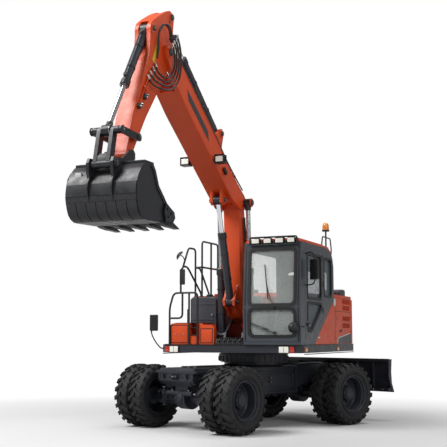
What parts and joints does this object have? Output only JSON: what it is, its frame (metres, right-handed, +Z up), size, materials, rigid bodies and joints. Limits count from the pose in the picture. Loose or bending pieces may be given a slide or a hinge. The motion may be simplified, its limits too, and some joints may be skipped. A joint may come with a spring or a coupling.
{
  "type": "wheeled excavator",
  "caption": "Wheeled excavator with a two-piece boom, arm and bucket on a slewing upper body with a side cab, twin tyres and a rear dozer blade.",
  "frame": {"origin": "on the ground, below the middle of the whole machine's box at rest", "axes": "+X is the undercarriage's forward direction, +Y its left side, +Z up; the upper body is slewed 23.15 degrees to the left"},
  "size_m": [7.0414, 4.1616, 6.2154],
  "materials": {
    "orange_paint": "gloss",
    "grey_paint": "satin",
    "dark_paint": "satin",
    "chrome_rod": "polished",
    "tyre": "matte",
    "glass": "clear",
    "seat_fabric": "matte",
    "black_paint": "satin"
  },
  "bodies": {
    "chassis": {"chassis_frame": "dark_paint", "front_axle": "dark_paint", "rear_axle": "dark_paint"},
    "upper": {"upper_frame": "dark_paint", "engine_housing": "orange_paint", "engine": "grey_paint", "counterweight": "orange_paint", "fuel_tank": "grey_paint", "tool_box": "orange_paint", "handrails": "black_paint", "cab_shell": "grey_paint", "cab_roof": "orange_paint", "windshield_upper": "glass", "windshield_lower": "glass", "glass_right": "glass", "glass_quarter": "glass", "glass_rear": "glass", "seat": "seat_fabric"},
    "knuckle_left": {"knuckle_left": "dark_paint"},
    "knuckle_right": {"knuckle_right": "dark_paint"},
    "wheel_front_left": {"rim_front_left": "grey_paint", "tyre_front_left_outer": "tyre", "tyre_front_left_inner": "tyre"},
    "wheel_front_right": {"rim_front_right": "grey_paint", "tyre_front_right_outer": "tyre", "tyre_front_right_inner": "tyre"},
    "wheel_rear_left": {"rim_rear_left": "grey_paint", "tyre_rear_left_outer": "tyre", "tyre_rear_left_inner": "tyre"},
    "wheel_rear_right": {"rim_rear_right": "grey_paint", "tyre_rear_right_outer": "tyre", "tyre_rear_right_inner": "tyre"},
    "blade_arm": {"blade_arm": "dark_paint"},
    "blade_link": {"blade_link": "dark_paint"},
    "blade": {"blade": "dark_paint"},
    "blade_barrel": {"blade_cylinder_barrel": "dark_paint"},
    "blade_rod": {"blade_cylinder_rod": "chrome_rod"},
    "base_boom": {"base_boom": "orange_paint"},
    "upper_boom": {"upper_boom": "orange_paint"},
    "arm": {"arm": "orange_paint"},
    "bucket": {"bucket": "dark_paint"},
    "guide_link": {"guide_link_left": "dark_paint", "guide_link_right": "dark_paint"},
    "bucket_link": {"bucket_link": "dark_paint"},
    "lift_barrels": {"lift_left_barrel": "dark_paint", "lift_right_barrel": "dark_paint"},
    "lift_rods": {"lift_left_rod": "chrome_rod", "lift_right_rod": "chrome_rod"},
    "adjust_barrel": {"adjust_barrel": "dark_paint"},
    "adjust_rod": {"adjust_rod": "chrome_rod"},
    "arm_barrel": {"arm_cylinder_barrel": "dark_paint"},
    "arm_rod": {"arm_cylinder_rod": "chrome_rod"},
    "bucket_barrel": {"bucket_cylinder_barrel": "dark_paint"},
    "bucket_rod": {"bucket_cylinder_rod": "chrome_rod"},
    "cab_door": {"cab_door": "grey_paint", "glass_door": "glass"},
    "engine_door_left": {"engine_door_left": "orange_paint"},
    "engine_door_right": {"engine_door_right": "orange_paint"},
    "engine_hood": {"engine_hood": "orange_paint"}
  },
  "joints": [
    {"name": "swing", "type": "hinge", "parent": "chassis", "child": "upper", "pos_m": [-1.22567, -0.20875, 0], "axis": [0, 0, 1], "continuous": true},
    {"name": "steer_left", "type": "hinge", "parent": "chassis", "child": "knuckle_left", "pos_m": [0.25433, 0.37625, 0.515], "axis": [0, 0, 1], "range_deg": [-38, 22]},
    {"name": "spin_front_left", "type": "hinge", "parent": "knuckle_left", "child": "wheel_front_left", "pos_m": [0.20075, 0.7575, 0.515], "axis": [-0.1392, 0.9903, 0], "continuous": true},
    {"name": "spin_rear_left", "type": "hinge", "parent": "chassis", "child": "wheel_rear_left", "pos_m": [-2.37567, 0.76125, 0.515], "axis": [0, 1, 0], "continuous": true},
    {"name": "steer_right", "type": "hinge", "parent": "chassis", "child": "knuckle_right", "pos_m": [0.25433, -0.79375, 0.515], "axis": [0, 0, 1], "range_deg": [-38, 22]},
    {"name": "spin_front_right", "type": "hinge", "parent": "knuckle_right", "child": "wheel_front_right", "pos_m": [0.30791, -1.175, 0.515], "axis": [-0.1392, 0.9903, 0], "continuous": true},
    {"name": "spin_rear_right", "type": "hinge", "parent": "chassis", "child": "wheel_rear_right", "pos_m": [-2.37567, -1.17875, 0.515], "axis": [0, 1, 0], "continuous": true},
    {"name": "blade_lift", "type": "hinge", "parent": "chassis", "child": "blade_arm", "pos_m": [-2.78567, -0.20875, 0.47], "axis": [0, -1, 0], "range_deg": [0, 50]},
    {"name": "blade_hinge", "type": "hinge", "parent": "blade_arm", "child": "blade", "pos_m": [-3.3331, -0.20875, 0.76107], "axis": [0, -1, 0], "range_deg": [-50.05, 0.05]},
    {"name": "blade_link_hinge", "type": "hinge", "parent": "chassis", "child": "blade_link", "pos_m": [-2.78567, -0.20875, 0.67], "axis": [0, -1, 0], "range_deg": [-0.05, 50.05]},
    {"name": "blade_barrel_hinge", "type": "hinge", "parent": "chassis", "child": "blade_barrel", "pos_m": [-2.79567, -0.20875, 0.93], "axis": [0, -1, 0], "range_deg": [-0.05, 20.77]},
    {"name": "blade_rod_slide", "type": "slide", "parent": "blade_barrel", "child": "blade_rod", "axis": [-0.7835, 0, -0.6214], "range_m": [-0.001, 0.281]},
    {"name": "boom_lift", "type": "hinge", "parent": "upper", "child": "base_boom", "pos_m": [-1.04057, -0.26011, 1.8], "axis": [0.3931, -0.9195, 0], "range_deg": [-55, 6]},
    {"name": "lift_barrel_hinge", "type": "hinge", "parent": "upper", "child": "lift_barrels", "pos_m": [-0.85854, 0.10266, 1.5], "axis": [0.3931, -0.9195, 0], "range_deg": [-51.29, 5.64]},
    {"name": "lift_rod_slide", "type": "slide", "parent": "lift_barrels", "child": "lift_rods", "axis": [0.0493, 0.0211, 0.9986], "range_m": [-0.3778, 0.0421]},
    {"name": "boom_adjust", "type": "hinge", "parent": "base_boom", "child": "upper_boom", "pos_m": [-0.64584, -0.09134, 3.7206], "axis": [0.3931, -0.9195, 0], "range_deg": [-40, 25]},
    {"name": "adjust_barrel_hinge", "type": "hinge", "parent": "base_boom", "child": "adjust_barrel", "pos_m": [-0.51769, -0.03655, 2.05202], "axis": [0.3931, -0.9195, 0], "range_deg": [-2.14, 1.36]},
    {"name": "adjust_rod_slide", "type": "slide", "parent": "adjust_barrel", "child": "adjust_rod", "axis": [0.2757, 0.1179, 0.954], "range_m": [-0.4375, 0.2738]},
    {"name": "arm_swing", "type": "hinge", "parent": "upper_boom", "child": "arm", "pos_m": [1.90268, 0.99833, 5.5482], "axis": [-0.3931, 0.9195, 0], "range_deg": [-60, 45]},
    {"name": "arm_barrel_hinge", "type": "hinge", "parent": "upper_boom", "child": "arm_barrel", "pos_m": [0.03742, 0.2008, 4.77356], "axis": [0.3931, -0.9195, 0], "range_deg": [-3.02, 4.01]},
    {"name": "arm_rod_slide", "type": "slide", "parent": "arm_barrel", "child": "arm_rod", "axis": [0.7436, 0.318, 0.5882], "range_m": [-0.5523, 0.4145]},
    {"name": "bucket_curl", "type": "hinge", "parent": "arm", "child": "bucket", "pos_m": [2.88546, 1.41853, 3.83769], "axis": [0.3931, -0.9195, 0], "range_deg": [-67, 75]},
    {"name": "guide_link_hinge", "type": "hinge", "parent": "arm", "child": "guide_link", "pos_m": [2.77438, 1.37104, 4.10651], "axis": [0.3931, -0.9195, 0], "range_deg": [-57.92, 64.83]},
    {"name": "bucket_link_hinge", "type": "hinge", "parent": "bucket", "child": "bucket_link", "pos_m": [3.27164, 1.58365, 3.66969], "axis": [0.3931, -0.9195, 0], "range_deg": [-39.36, 35.17]},
    {"name": "bucket_barrel_hinge", "type": "hinge", "parent": "arm", "child": "bucket_barrel", "pos_m": [2.26127, 1.15165, 5.79779], "axis": [0.3931, -0.9195, 0], "range_deg": [-5.13, 5.73]},
    {"name": "bucket_rod_slide", "type": "slide", "parent": "bucket_barrel", "child": "bucket_rod", "axis": [0.4723, 0.202, -0.858], "range_m": [-0.4066, 0.3633]},
    {"name": "cab_door", "type": "hinge", "parent": "upper", "child": "cab_door", "pos_m": [-1.77674, 0.90205, 0], "axis": [0, 0, 1], "range_deg": [0, 150]},
    {"name": "engine_door_left", "type": "hinge", "parent": "upper", "child": "engine_door_left", "pos_m": [-3.29152, 0.24785, 0], "axis": [0, 0, -1], "range_deg": [-85, 0]},
    {"name": "engine_door_right", "type": "hinge", "parent": "upper", "child": "engine_door_right", "pos_m": [-2.32283, -2.01775, 0], "axis": [0, 0, 1], "range_deg": [-85, 0]},
    {"name": "engine_hood", "type": "hinge", "parent": "upper", "child": "engine_hood", "pos_m": [-2.78878, -0.87709, 2.21], "axis": [0.3931, -0.9195, 0], "range_deg": [0, 60]}
  ],
  "couplings": [
    {"joint": "steer_right", "follows": "steer_left", "ratio": 1},
    {"joint": "blade_hinge", "follows": "blade_lift", "ratio": -1},
    {"joint": "blade_link_hinge", "follows": "blade_lift", "ratio": 1},
    {"joint": "blade_barrel_hinge", "follows": "blade_lift", "ratio": 0.41437},
    {"joint": "blade_rod_slide", "follows": "blade_lift", "m_per_rad": 0.32081},
    {"joint": "lift_barrel_hinge", "follows": "boom_lift", "ratio": 0.93153},
    {"joint": "lift_rod_slide", "follows": "boom_lift", "m_per_rad": 0.39252},
    {"joint": "adjust_barrel_hinge", "follows": "boom_adjust", "ratio": 0.0522},
    {"joint": "adjust_rod_slide", "follows": "boom_adjust", "m_per_rad": 0.62528},
    {"joint": "arm_barrel_hinge", "follows": "arm_swing", "ratio": -0.0659},
    {"joint": "arm_rod_slide", "follows": "arm_swing", "m_per_rad": 0.52644},
    {"joint": "guide_link_hinge", "follows": "bucket_curl", "ratio": 0.8637},
    {"joint": "bucket_link_hinge", "follows": "bucket_curl", "ratio": -0.52405},
    {"joint": "bucket_barrel_hinge", "follows": "bucket_curl", "ratio": 0.0757},
    {"joint": "bucket_rod_slide", "follows": "bucket_curl", "m_per_rad": -0.30985}
  ]
}
